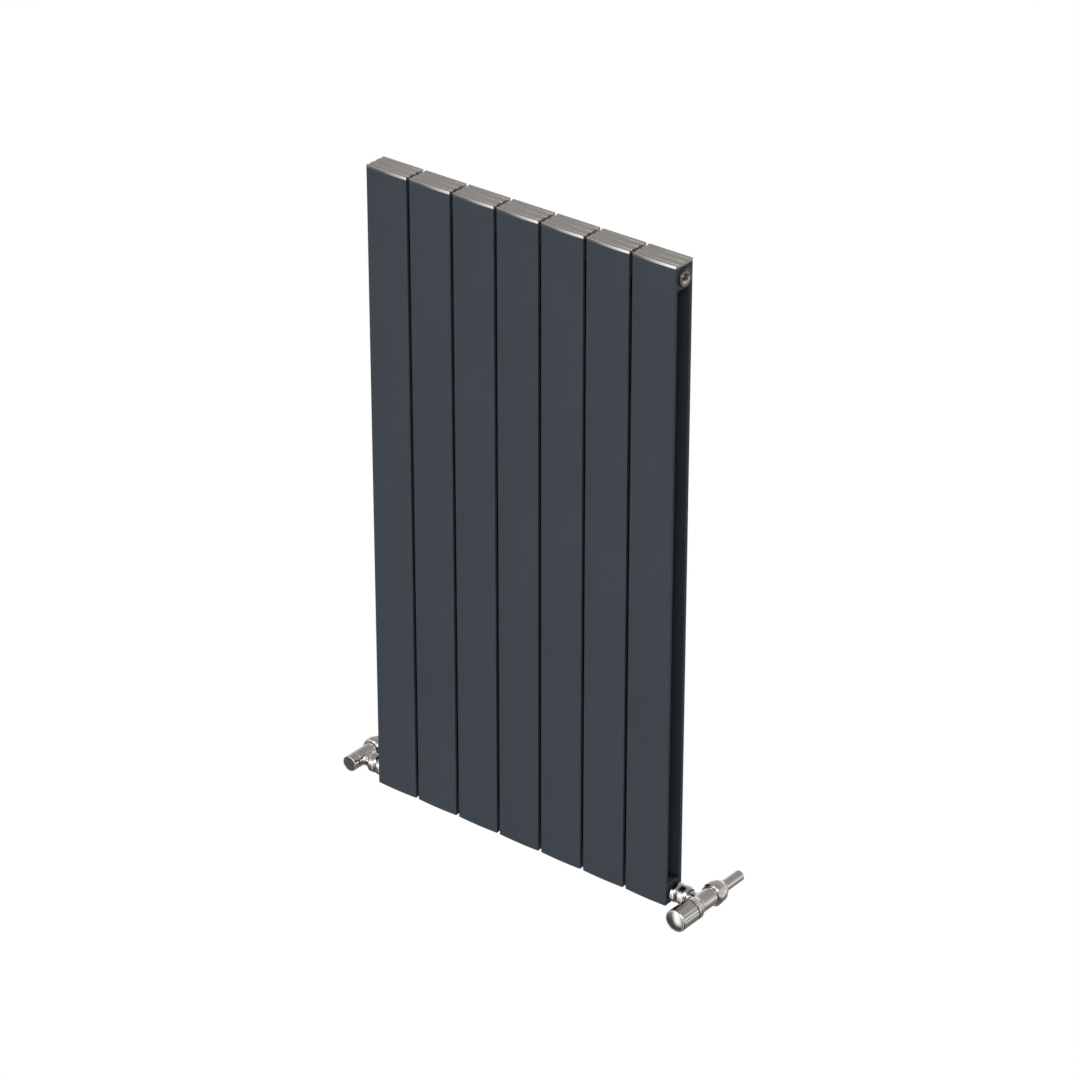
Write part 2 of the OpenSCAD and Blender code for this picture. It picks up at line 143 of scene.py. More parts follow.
def rounded(corners, closed=True, steps=6):
    """Outline from corners (a, b) or (a, b, radius): each corner with a radius becomes an arc."""
    points = []
    count = len(corners)
    for i, corner in enumerate(corners):
        here = Vector(corner[:2])
        radius = corner[2] if len(corner) > 2 else 0
        if radius == 0 or (not closed and i in (0, count - 1)):
            points.append(here)
            continue
        to_last = (Vector(corners[i - 1][:2]) - here).normalized()
        to_next = (Vector(corners[(i + 1) % count][:2]) - here).normalized()
        half = to_last.angle(to_next) / 2
        centre = here + (to_last + to_next).normalized() * radius / math.sin(half)
        start = here + to_last * radius / math.tan(half) - centre
        turn = math.pi - 2 * half
        if to_last.x * to_next.y - to_last.y * to_next.x > 0:
            turn = -turn
        for k in range(steps + 1):
            a = turn * k / steps
            points.append(centre + Vector((start.x * math.cos(a) - start.y * math.sin(a),
                                           start.x * math.sin(a) + start.y * math.cos(a))))
    return points


def arc(centre, radius, start, end, steps):
    """Points on a circle from one angle to another, in degrees."""
    angles = [math.radians(start + (end - start) * k / steps) for k in range(steps + 1)]
    return [(centre[0] + radius * math.cos(a), centre[1] + radius * math.sin(a)) for a in angles]


def inset(outline, distance):
    """The closed outline moved inwards, where inwards is to the left of its direction."""
    moved = []
    count = len(outline)
    for i, here in enumerate(outline):
        a = (here - outline[i - 1]).normalized()
        b = (outline[(i + 1) % count] - here).normalized()
        left = Vector((-a.y - b.y, a.x + b.x)).normalized()
        moved.append(here + left * distance / max(0.3, left.dot(Vector((-a.y, a.x)))))
    return moved


def prism(outlines, low, high, edge, place, steps=3):
    """Solid between two heights with rounded edges. The first outline runs anticlockwise,
    holes run clockwise, and place(a, b, height) gives a point in millimetres."""
    levels = []
    for k in range(steps + 1):
        a = math.pi / 2 * k / steps
        levels.append((low + edge * (1 - math.cos(a)), edge * (1 - math.sin(a))))
    levels += [(low + high - h, d) for h, d in reversed(levels)]
    vertices = []
    faces = []
    ends = ([], [])
    for outline in outlines:
        loop = [Vector(p[:2]) for p in outline]
        count = len(loop)
        base = len(vertices)
        for h, d in levels:
            vertices += [place(p.x, p.y, h) for p in inset(loop, d)]
        for row in range(len(levels) - 1):
            for i in range(count):
                j = (i + 1) % count
                a = base + row * count
                faces.append((a + i, a + j, a + count + j, a + count + i))
        ends[0].append(range(base, base + count))
        last = base + (len(levels) - 1) * count
        ends[1].append(range(last, last + count))
    for end, (h, d) in zip(ends, (levels[0], levels[-1])):
        loops = [[(p.x, p.y, 0) for p in inset([Vector(q[:2]) for q in o], d)] for o in outlines]
        index = [i for loop in end for i in loop]
        faces += [tuple(index[i] for i in t) for t in tessellate_polygon(loops)]
    return vertices, faces


def axes(direction):
    """Two directions at right angles to a given one."""
    direction = Vector(direction)
    side = Vector((0, 0, 1))
    return direction, side, direction.cross(side)


def turned(origin, direction, profile, closed=False, around=120, shape=None):
    """Solid of revolution: the profile's points are (radius, station along the direction).
    shape(radius, station, angle) may change the radius, for flats and flutes."""
    along, side, across = axes(direction)
    origin = Vector(origin)
    vertices = []
    faces = []
    for r, s in profile:
        for k in range(around):
            a = 2 * math.pi * k / around
            radius = shape(r, s, a) if shape and r > 0 else r
            vertices.append(origin + along * s + side * radius * math.cos(a)
                            + across * radius * math.sin(a))
    rows = len(profile)
    for row in range(rows if closed else rows - 1):
        a = row * around
        b = (row + 1) % rows * around
        for k in range(around):
            j = (k + 1) % around
            faces.append((a + k, a + j, b + j, b + k))
    return vertices, faces


def soft_min(a, b, blend):
    """The smaller of two numbers, with a smooth change from one to the other."""
    h = max(blend - abs(a - b), 0) / blend
    return min(a, b) - h * h * blend / 4


def flats(count, apothem, blend=0.35, phase=0.0):
    """Shape for turned() that cuts flats at a distance from the axis, as on a nut."""
    step = 2 * math.pi / count

    def shape(r, s, a):
        off = (a - phase + step / 2) % step - step / 2
        return soft_min(r, apothem / math.cos(off), blend)
    return shape


def join(*solids):
    """One list of vertices and faces from several."""
    vertices = []
    faces = []
    for more_vertices, more_faces in solids:
        base = len(vertices)
        vertices += more_vertices
        faces += [tuple(base + i for i in f) for f in more_faces]
    return vertices, faces


def piece(name, solid, material, *nodes, slot):
    """A mesh piece that stands for CAD nodes and rides on their body."""
    mesh = bpy.data.meshes.new(name)
    vertices, faces = solid
    mesh.from_pydata([Vector(v) * MM for v in vertices], [], faces)
    work = bmesh.new()
    work.from_mesh(mesh)
    bmesh.ops.remove_doubles(work, verts=work.verts, dist=0.002 * MM)
    bmesh.ops.recalc_face_normals(work, faces=work.faces)
    work.to_mesh(mesh)
    work.free()
    mesh.shade_smooth()
    mesh.materials.append(material)
    obj = bpy.data.objects.new(name, mesh)
    bpy.context.scene.collection.objects.link(obj)
    normals = obj.modifiers.new("flat faces stay flat", "WEIGHTED_NORMAL")
    normals.weight = 60
    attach(obj, BODY_OF[nodes[0]])
    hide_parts(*nodes)
    return obj


# ---- materials ----

def material(name):
    """A new node material with its shader, and a function that adds linked nodes."""
    made = bpy.data.materials.new(name)
    made.use_nodes = True
    tree = made.node_tree
    shader = tree.nodes["Principled BSDF"]

    def add(kind, settings=(), **inputs):
        node = tree.nodes.new(kind)
        for key, value in dict(settings).items():
            setattr(node, key, value)
        for key, value in inputs.items():
            socket = node.inputs[key.replace("_", " ")]
            if isinstance(value, bpy.types.NodeSocket):
                tree.links.new(value, socket)
            else:
                socket.default_value = value
        return node

    return made, shader, add


def noise(add, scale, detail=3.0, stretch=(1, 1, 1)):
    """Noise on the object's own coordinates, in features per metre."""
    place = add("ShaderNodeTexCoord")
    mapping = add("ShaderNodeMapping", Vector=place.outputs["Object"])
    mapping.inputs["Scale"].default_value = stretch
    return add("ShaderNodeTexNoise", Vector=mapping.outputs["Vector"], Scale=scale, Detail=detail)


def ramp(add, value, stops):
    """Colour ramp through stops (position, colour)."""
    node = add("ShaderNodeValToRGB", Fac=value)
    points = node.color_ramp.elements
    while len(points) < len(stops):
        points.new(0.5)
    for point, (position, colour) in zip(points, stops):
        point.position = position
        point.color = (*colour, 1)
    return node.outputs["Color"]


def spread(add, value, low, high):
    """Maps noise about its middle to a range."""
    node = add("ShaderNodeMapRange", Value=value, From_Min=0.3, From_Max=0.7, To_Min=low, To_Max=high)
    return node.outputs["Result"]


def wire(made, shader, **inputs):
    """Links sockets, or sets values, on the shader."""
    for key, value in inputs.items():
        socket = shader.inputs[key.replace("_", " ")]
        if isinstance(value, bpy.types.NodeSocket):
            made.node_tree.links.new(value, socket)
        else:
            socket.default_value = value


def powder_coat():
    """Satin anthracite powder coat: orange peel, and slow changes of tone and gloss."""
    made, shader, add = material("anthracite_powder_coat")
    tone = noise(add, 9, 4)
    colour = ramp(add, tone.outputs["Fac"],
                  [(0.3, (0.0290, 0.0385, 0.0480)), (0.7, (0.0322, 0.0425, 0.0525))])
    gloss = noise(add, 60, 4)
    peel = noise(add, 620, 2)
    grain = noise(add, 4200, 2)
    bump = add("ShaderNodeBump", Height=peel.outputs["Fac"], Strength=0.16, Distance=0.00012)
    fine = add("ShaderNodeBump", Height=grain.outputs["Fac"], Strength=0.12, Distance=0.00003,
               Normal=bump.outputs["Normal"])
    wire(made, shader, Base_Color=colour, Roughness=spread(add, gloss.outputs["Fac"], 0.50, 0.58),
         Normal=fine.outputs["Normal"], Specular_IOR_Level=0.35)
    return made


def metal(name, dark, light, roughness, lines=0.0, stretch=(1, 1, 1)):
    """Plated or bare metal: tone between two colours, smudges, and fine polishing lines."""
    made, shader, add = material(name)
    tone = noise(add, 45, 5)
    colour = ramp(add, tone.outputs["Fac"], [(0.3, dark), (0.7, light)])
    smudge = noise(add, 130, 5)
    scratch = noise(add, 2600, 3, stretch)
    bump = add("ShaderNodeBump", Height=scratch.outputs["Fac"], Strength=lines, Distance=0.00002)
    wire(made, shader, Base_Color=colour, Metallic=1.0, Normal=bump.outputs["Normal"],
         Roughness=spread(add, smudge.outputs["Fac"], *roughness))
    return made


def moulded(name, dark, light, roughness, grain):
    """Rubber or moulded plastic with a matt grain."""
    made, shader, add = material(name)
    tone = noise(add, 70, 4)
    colour = ramp(add, tone.outputs["Fac"], [(0.3, dark), (0.7, light)])
    pits = noise(add, grain, 3)
    bump = add("ShaderNodeBump", Height=pits.outputs["Fac"], Strength=0.3, Distance=0.00006)
    wire(made, shader, Base_Color=colour, Normal=bump.outputs["Normal"],
         Roughness=spread(add, pits.outputs["Fac"], *roughness))
    return made


PAINT = powder_coat()
CAP_CHROME = metal("cap_chrome", (0.495, 0.468, 0.438), (0.525, 0.496, 0.464), (0.06, 0.10),
                   lines=0.10, stretch=(0.05, 1, 1))
CHROME = metal("fitting_chrome", (0.64, 0.605, 0.565), (0.68, 0.645, 0.60), (0.06, 0.11), lines=0.08)
SATIN = metal("sawn_aluminium", (0.50, 0.475, 0.445), (0.54, 0.51, 0.48), (0.50, 0.58), lines=0.30)
DARK_CHROME = metal("dark_chrome", (0.20, 0.195, 0.19), (0.23, 0.225, 0.22), (0.16, 0.22), lines=0.10)
BRASS = metal("turned_brass", (0.50, 0.34, 0.13), (0.60, 0.43, 0.18), (0.22, 0.32), lines=0.30)
STEEL = metal("zinc_plated_steel", (0.40, 0.405, 0.40), (0.50, 0.51, 0.515), (0.30, 0.42), lines=0.35,
              stretch=(1, 1, 0.15))
RUBBER = moulded("black_rubber", (0.012, 0.012, 0.012), (0.022, 0.022, 0.022), (0.72, 0.86), 1500)
PLASTIC = moulded("grey_nylon", (0.026, 0.026, 0.029), (0.036, 0.036, 0.040), (0.48, 0.62), 2200)


# ---- sections, headers and caps ----

def bow_y(x):
    """Front of a plate or cap at a distance from the middle of its section."""
    return Y_FRONT - BOW + BOW_R - math.sqrt(BOW_R ** 2 - x ** 2)


def section(i):
    low, high = box(f"section_{i}")
    mid = (low.x + high.x) / 2
    back = Y_FRONT + FRONT_T
    rear = Y_REAR - REAR_T
    front_curve = [(x, bow_y(x)) for x in [HALF_W * k / 16 for k in range(-15, 16)]]
    front_plate = rounded([(-WIDE, Y_FRONT, PLATE_EDGE), *front_curve, (WIDE, Y_FRONT, PLATE_EDGE),
                           (WIDE, back, PLATE_BACK_EDGE), (-WIDE, back, PLATE_BACK_EDGE)])
    rear_plate = rounded([(-WIDE, rear, PLATE_BACK_EDGE), (WIDE, rear, PLATE_BACK_EDGE),
                          (WIDE, Y_REAR, PLATE_EDGE), (-WIDE, Y_REAR, PLATE_EDGE)])
    half_web = WEB_W / 2
    lean = math.degrees(math.asin(half_web / TUBE_R))
    tube = [(half_web, back - 2 * LAP), *arc((0, Y_MID), TUBE_R, -90 + lean, 90 - lean, 28),
            (half_web, rear + 2 * LAP), (-half_web, rear + 2 * LAP),
            *arc((0, Y_MID), TUBE_R, 90 + lean, 270 - lean, 28), (-half_web, back - 2 * LAP)]
    bore = arc((0, Y_MID), TUBE_BORE_R, 0, -360 + 360 / 56, 55)

    def upright(a, b, h):
        return (mid + a, b, h)

    piece(f"section_{i}_plates", join(
        prism([front_plate], low.z, high.z, PLATE_END_EDGE, upright),
        prism([rear_plate], low.z, high.z, PLATE_END_EDGE, upright),
        prism([tube, bore], foot_high.z, header_low.z, 0.02, upright, steps=1),
    ), PAINT, f"section_{i}", slot="anthracite_paint")


def header(node):
    low, high = box(node)
    outline = rounded([(low.y - LAP, low.z), (high.y + LAP, low.z),
                       (high.y + LAP, high.z), (low.y - LAP, high.z)])
    bore = arc((Y_MID, (low.z + high.z) / 2), HEADER_BORE_R, 0, -360 + 360 / 72, 71)

    def sideways(a, b, h):
        return (h, a, b)

    piece(f"{node}_block", prism([outline, bore], low.x, high.x, BLOCK_EDGE, sideways),
          PAINT, node, slot="anthracite_paint")


def cap(i):
    """Ribbed cap that follows the bow of the front, with plain sawn ends."""
    low, high = box(f"top_cap_{i}")
    mid = (low.x + high.x) / 2
    floor = CAP_T - GROOVE_DEPTH
    corners = [(0, 0, 0.35), (DEPTH, 0, 0.3), (DEPTH, CAP_T, 0.4)]
    for at in reversed(GROOVES_AT):
        back = at * DEPTH + GROOVE_W / 2
        front = at * DEPTH - GROOVE_W / 2
        corners += [(back, CAP_T, 0.4), (back, floor, 0.35), (front, floor, 0.5), (front, CAP_T, 0.3)]
    corners.append((0, CAP_T, LIP_R))
    profile = rounded(corners, steps=4)
    follows = [p.x < DEPTH - 0.75 for p in profile]
    stations = [(-WIDE + CAP_END_EDGE * (1 - math.cos(a)), CAP_END_EDGE * (1 - math.sin(a)))
                for a in (0, math.pi / 6, math.pi / 3, math.pi / 2)]
    columns = stations + [(HALF_W * k / 20, 0) for k in range(-19, 20)]
    columns += [(-x, d) for x, d in reversed(stations)]
    vertices = []
    faces = []
    count = len(profile)
    for x, d in columns:
        for p, follow in zip(inset(profile, d), follows):
            start = bow_y(x) if follow else Y_FRONT
            vertices.append((mid + x, start + p.x, Z_PLATES + p.y))
    for row in range(len(columns) - 1):
        for k in range(count):
            j = (k + 1) % count
            a = row * count
            faces.append((a + k, a + j, a + count + j, a + count + k))
    first = [(p.x, p.y, 0) for p in inset(profile, CAP_END_EDGE)]
    for base in (0, (len(columns) - 1) * count):
        faces += [tuple(base + k for k in t) for t in tessellate_polygon([first])]
    piece(f"top_cap_{i}_plate", (vertices, faces), CAP_CHROME, f"top_cap_{i}", slot="cap_chrome")

    def endways(a, b, h):
        return (h, Y_FRONT + a, Z_PLATES + b)

    sawn = [(SAWN_MARGIN, 0.2), (DEPTH - SAWN_MARGIN, 0.2),
            (DEPTH - SAWN_MARGIN, CAP_T - SAWN_DROP), (SAWN_MARGIN, CAP_T - SAWN_DROP)]
    ends = []
    for side in (LEFT, RIGHT):
        low_x, high_x = sorted((mid + side * (WIDE - 0.3), mid + side * (WIDE + 0.1)))
        ends.append(prism([sawn], low_x, high_x, LAP, endways, steps=1))
    piece(f"top_cap_{i}_sawn_ends", join(*ends), SATIN, f"top_cap_{i}", slot="cap_chrome")


for number in SECTIONS:
    section(number)
    header(f"top_header_{number}")
    header(f"bottom_header_{number}")
    cap(number)


# ---- air vent and blanking plug, stations outwards from the end face ----

THREAD_R = 10.2
THREAD_L = 12.0
GASKET_T = 1.2
FLANGE_R = 11.7
FLANGE_FACE = 3.2
RECESS_R = 7.3
RECESS_FLOOR = 1.7
SCREW_HOLE_R = 3.05
SCREW_HOLE_END = -8.7
SCREW_R = 3.0
SCREW_END = -8.4
SCREW_FACE = 2.2
KEY_HALF = 2.2
KEY_END = 4.2
JAW_END = 5.4
SLOT_HALF = 0.5
SOCKET_R = 5.77
SOCKET_FLAT = 5.0
SOCKET_FLOOR = -4.0


def end_point(side, z):
    return (side * X_END, Y_MID, z)


def air_vent():
    """Plug with a dished recess, and in it the bleed screw with a square, slotted head."""
    at = end_point(RIGHT, Z_HIGH)
    out = (1, 0, 0)
    flange = rounded([(SCREW_HOLE_R, SCREW_HOLE_END), (SCREW_HOLE_R, RECESS_FLOOR),
                      (RECESS_R, RECESS_FLOOR), (RECESS_R + 0.2, FLANGE_FACE - 0.1),
                      (FLANGE_R, FLANGE_FACE, 0.45), (FLANGE_R, GASKET_T, 0.3), (THREAD_R, GASKET_T),
                      (THREAD_R, -THREAD_L), (1, -THREAD_L), (1, SCREW_HOLE_END)])
    rim = rounded([(4.9, RECESS_FLOOR - LAP), (4.9, 1.8, 0.1), (RECESS_R, FLANGE_FACE + 0.2, 0.3),
                   (RECESS_R + 0.6, FLANGE_FACE - 0.1), (RECESS_R - 0.1, RECESS_FLOOR - LAP)])
    piece("air_vent_body", turned(at, out, flange, closed=True), DARK_CHROME, "air_vent_plug",
          slot="fitting_chrome")
    piece("air_vent_rim", turned(at, out, rim, closed=True), CHROME, "air_vent_plug",
          slot="fitting_chrome")
    screw = rounded([(0, SCREW_END), (SCREW_R - 1, SCREW_END), (SCREW_R, SCREW_END + 1),
                     (SCREW_R, SCREW_FACE - 0.2, 0.25), (SCREW_R - 0.1, SCREW_FACE), (0, SCREW_FACE)],
                    closed=False)
    key = rounded([(-KEY_HALF, -KEY_HALF, 0.35), (KEY_HALF, -KEY_HALF, 0.35),
                   (KEY_HALF, KEY_HALF, 0.35), (-KEY_HALF, KEY_HALF, 0.35)], steps=4)
    jaw = rounded([(-KEY_HALF, SLOT_HALF, 0.2), (KEY_HALF, SLOT_HALF, 0.2),
                   (KEY_HALF, KEY_HALF, 0.35), (-KEY_HALF, KEY_HALF, 0.35)], steps=4)
    lower_jaw = [Vector((p.x, -p.y)) for p in reversed(jaw)]

    def outwards(a, b, h):
        return (X_END + h, Y_MID + a, Z_HIGH + b)

    piece("bleed_screw_square", join(
        turned(at, out, screw, around=64),
        prism([key], SCREW_FACE - 0.1, KEY_END, 0.05, outwards),
        prism([jaw], KEY_END - 0.1, JAW_END, 0.2, outwards),
        prism([lower_jaw], KEY_END - 0.1, JAW_END, 0.2, outwards),
    ), DARK_CHROME, "bleed_screw", slot="fitting_chrome")


def blanking_plug():
    """Plug with a hexagon socket."""
    socket = flats(6, SOCKET_FLAT, 0.02)

    def shape(r, s, a):
        return socket(SOCKET_R, s, a) if abs(r - SOCKET_R) < 0.01 else r

    profile = [(0, SOCKET_FLOOR), (SOCKET_R, SOCKET_FLOOR), (SOCKET_R, FLANGE_FACE - 0.3),
               (6.3, FLANGE_FACE)]
    profile += rounded([(6.3, FLANGE_FACE), (FLANGE_R, FLANGE_FACE, 0.7), (FLANGE_R, GASKET_T, 0.3),
                        (THREAD_R, GASKET_T)], closed=False)
    profile += [(THREAD_R, -THREAD_L), (0, -THREAD_L)]
    piece("blanking_plug_body", turned(end_point(LEFT, Z_HIGH), (-1, 0, 0), profile, shape=shape),
          CHROME, "blanking_plug", slot="fitting_chrome")


air_vent()
blanking_plug()


# ---- unions, stations outwards from the end face ----

SEAL_T = 1.5
TAIL_R = 14.0
TAIL_END = 12.0
TAIL_TUBE_R = 8.0
TAIL_TUBE_END = 20.0
TAIL_BORE_R = 6.0
TAIL_FLAT = 13.15
UNION_START = 12.5
UNION_SHOULDER = 17.0
UNION_END = 26.2
UNION_R = 13.8
UNION_FLAT = 13.05
FLAT_TURN = math.radians(30)
NECK_R = 9.0
NECK_THREAD_R = 10.5


def union(side, hand):
    """Tail with its nut-shaped collar, and the union nut that draws the valve to it."""
    at = end_point(side, Z_LOW)
    out = (side, 0, 0)
    ball = rounded([(TAIL_BORE_R, SEAL_T), (12.4, SEAL_T, 0.5), (TAIL_R, 4.2, 2.8), (TAIL_R, 9.3, 3.2),
                    (11.4, TAIL_END, 0.8), (TAIL_TUBE_R, TAIL_END), (TAIL_TUBE_R, TAIL_TUBE_END),
                    (TAIL_BORE_R, TAIL_TUBE_END)], steps=8)
    thread = [(TAIL_BORE_R, -THREAD_L), (THREAD_R, -THREAD_L), (THREAD_R, SEAL_T), (TAIL_BORE_R, SEAL_T)]
    nut = rounded([(TAIL_TUBE_R + 0.1, UNION_START), (11.6, UNION_START, 0.6), (UNION_R, 15.4, 3.2),
                   (UNION_R, 22.6, 3.6), (11.4, UNION_END, 0.7), (NECK_THREAD_R, UNION_END),
                   (NECK_THREAD_R, UNION_SHOULDER), (TAIL_TUBE_R + 0.1, UNION_SHOULDER)], steps=8)
    piece(f"{hand}_tail_nut", join(
        turned(at, out, ball, closed=True, around=144, shape=flats(6, TAIL_FLAT, 0.8, FLAT_TURN)),
        turned(at, out, thread, closed=True)),
        CHROME, "radiator_tails", slot="fitting_chrome")
    piece(f"{hand}_union_nut",
          turned(at, out, nut, closed=True, around=144, shape=flats(6, UNION_FLAT, 0.7, FLAT_TURN)),
          CHROME, "union_nuts", slot="fitting_chrome")


# ---- valves, stations along +Y from the crossing ----

BODY_R = 12.0
LOCK_BODY_R = 11.15
MOUTH = -16.4
MOUTH_R = 15.5
CONE_END = -7.7
LOCK_MOUTH = -12.7
CHAMBER_R = 8.5
SEAT = 5.08
SEAT_BORE_R = 6.0
SEAT_END = 14.0
PIPE_SOCKET_R = 7.6
PIPE_SOCKET_END = 27.0
OLIVE_CONE_R = 9.0
BODY_END = 19.8
BODY_THREAD_R = 11.0
BODY_THREAD_END = 30.0
NUT_START = 19.9
NUT_END = 46.1
NUT_R = 15.97
NUT_FLAT = 15.1
NUT_THREAD_END = 33.6
NUT_PLAY = 0.15
PIPE_FILED = 0.2
NECK_FILLET = 2.2
COLLAR_FRONT = -23.1
GLAND_R = 7.0
SPINDLE_HOLE_R = 4.05
STEM_R = 6.1
STEM_START = -13.8
# size of the black ring that paints the shade in the seam between the handwheel and the collar
SEAM_R = 15.25
SEAM_FRONT = -24.85


def crossing(side):
    return Vector((side * VALVE_X, Y_MID, Z_LOW))


def neck(side, body_r):
    """Neck from the union to the body, with a fillet that follows the round of the body.
    It ends open, inside the wall of the body."""
    around = 96
    centre = crossing(side)
    start = VALVE_OFFSET - UNION_END + 0.6
    stops = [(NECK_THREAD_R, start + 2.4), (NECK_THREAD_R, start), (NECK_R, start - 0.2)]
    fillet = min(NECK_FILLET, body_r - NECK_R - 0.3)
    vertices = []
    faces = []
    fillet_steps = 8
    rows = len(stops) + fillet_steps + 2
    for row in range(rows):
        for k in range(around):
            a = 2 * math.pi * k / around
            if row < len(stops):
                r, x = stops[row]
            else:
                t = min(row - len(stops), fillet_steps) / fillet_steps * math.pi / 2
                r = NECK_R + fillet * (1 - math.cos(t))
                surface = math.sqrt(body_r ** 2 - (r * math.sin(a)) ** 2)
                x = surface + fillet * (1 - math.sin(t)) - 0.05
                if row == rows - 1:
                    x -= 1.2
            vertices.append(centre + Vector((-side * x, r * math.cos(a), r * math.sin(a))))
    for row in range(rows - 1):
        for k in range(around):
            j = (k + 1) % around
            a = row * around
            faces.append((a + k, a + j, a + around + j, a + around + k))
    faces.append(tuple(range(around)))
    return vertices, faces


def body_bore(mouth):
    """Inside of a body from the pipe socket back to its mouth."""
    return [(OLIVE_CONE_R, BODY_THREAD_END), (OLIVE_CONE_R, PIPE_SOCKET_END),
            (PIPE_SOCKET_R, PIPE_SOCKET_END), (PIPE_SOCKET_R, SEAT_END), (SEAT_BORE_R, SEAT_END),
            (SEAT_BORE_R, SEAT), (CHAMBER_R, SEAT), (CHAMBER_R, mouth)]


def compression_nut(side, hand):
    """Nut with flats, a cone and a round nose, over the pipe and the thread of the body."""
    bore = PIPE_R + NUT_PLAY
    thread_r = BODY_THREAD_R + LAP
    profile = rounded([(bore, NUT_THREAD_END), (thread_r, NUT_THREAD_END), (thread_r, NUT_START),
                       (13.8, NUT_START, 0.3), (NUT_R, NUT_START + 1.7, 0.6), (NUT_R, 28.5, 2.2),
                       (14.4, 36.5, 5.0), (10.8, 43.0, 2.0), (8.9, NUT_END, 0.6), (bore, NUT_END)],
                      steps=8)
    nut = turned(crossing(side), INTO_WALL, profile, closed=True, around=144,
                 shape=flats(6, NUT_FLAT, 0.4))
    piece(f"{hand}_compression_nut", nut, CHROME, "compression_nuts", slot="fitting_chrome")


def pipe(side, node):
    """Pipe tail, a little smaller inside the fitting."""
    low, high = box(node)
    start = low.y - Y_MID
    end = high.y - Y_MID
    filed = PIPE_R - PIPE_FILED
    profile = rounded([(PIPE_BORE_R, start), (filed, start), (filed, NUT_END + 0.4),
                       (PIPE_R, NUT_END + 0.5, 0.1), (PIPE_R, end, 0.35), (PIPE_BORE_R, end, 0.3)])
    piece(f"{node}_tail", turned(crossing(side), INTO_WALL, profile, closed=True),
          CHROME, node, slot="fitting_chrome")


def handwheel_valve():
    """Body with its neck, the collar of the headwork, and a black ring in front of it that paints the
    shade in the seam.
    """
    at = crossing(RIGHT)
    body = rounded([(CHAMBER_R, MOUTH), (MOUTH_R, MOUTH), (MOUTH_R, MOUTH + 0.6, 2.0),
                    (BODY_R, CONE_END, 12.0), (BODY_R, BODY_END, 0.5), (BODY_THREAD_R, BODY_END),
                    (BODY_THREAD_R, BODY_THREAD_END)] + body_bore(MOUTH)[:-1])
    casting = turned(at, INTO_WALL, body, closed=True, around=144)
    piece("valve_body_casting", join(casting, neck(RIGHT, BODY_R)), CHROME, "valve_body",
          slot="fitting_chrome")
    head_low, head_high = box("valve_headwork")
    nose = head_low.y - Y_MID
    tip = head_high.y - Y_MID
    headwork = rounded([(SPINDLE_HOLE_R, nose), (GLAND_R, nose, 0.4), (GLAND_R, COLLAR_FRONT),
                        (MOUTH_R, COLLAR_FRONT, 0.5), (MOUTH_R, MOUTH), (CHAMBER_R - LAP, MOUTH),
                        (CHAMBER_R - LAP, tip), (STEM_R, tip), (STEM_R, STEM_START),
                        (SPINDLE_HOLE_R, STEM_START)])
    piece("valve_headwork_collar", turned(at, INTO_WALL, headwork, closed=True, around=144),
          CHROME, "valve_headwork", slot="fitting_chrome")
    # black ring in the seam: painted shade where the gap between the handwheel and the collar falls dark,
    # not a real washer
    seam_shade_ring = rounded([(GLAND_R + LAP, COLLAR_FRONT + LAP), (GLAND_R + LAP, SEAM_FRONT),
                      (SEAM_R, SEAM_FRONT, 0.2), (SEAM_R, COLLAR_FRONT + LAP)])
    piece("valve_headwork_painted_shade_ring", turned(at, INTO_WALL, seam_shade_ring, closed=True, around=144),
          RUBBER, "valve_headwork", slot="rubber")


FLUTES = 14
FLUTE_R = 4.0
FLUTE_DEPTH = 0.4
FLUTE_START = 1.6
FLUTE_RUN_OUT = 1.8
RIM_R = 2.3
HUB_FACE = -31.0
HUB_RECESS_R = 8.0
STEP_FACE = -38.2
STEP_HOLE_R = 2.85
SCREW_SEAT = -44.2
SHANK_HOLE_R = 2.2
HEAD_SEAT = -46.0
HEAD_HOLE_R = 5.0
DOME_LAP = 2.2
SHELL_LIP = 1.2
SHELL_WALL = 1.7
DISC_SUNK = 0.3
DISC_T = 1.2


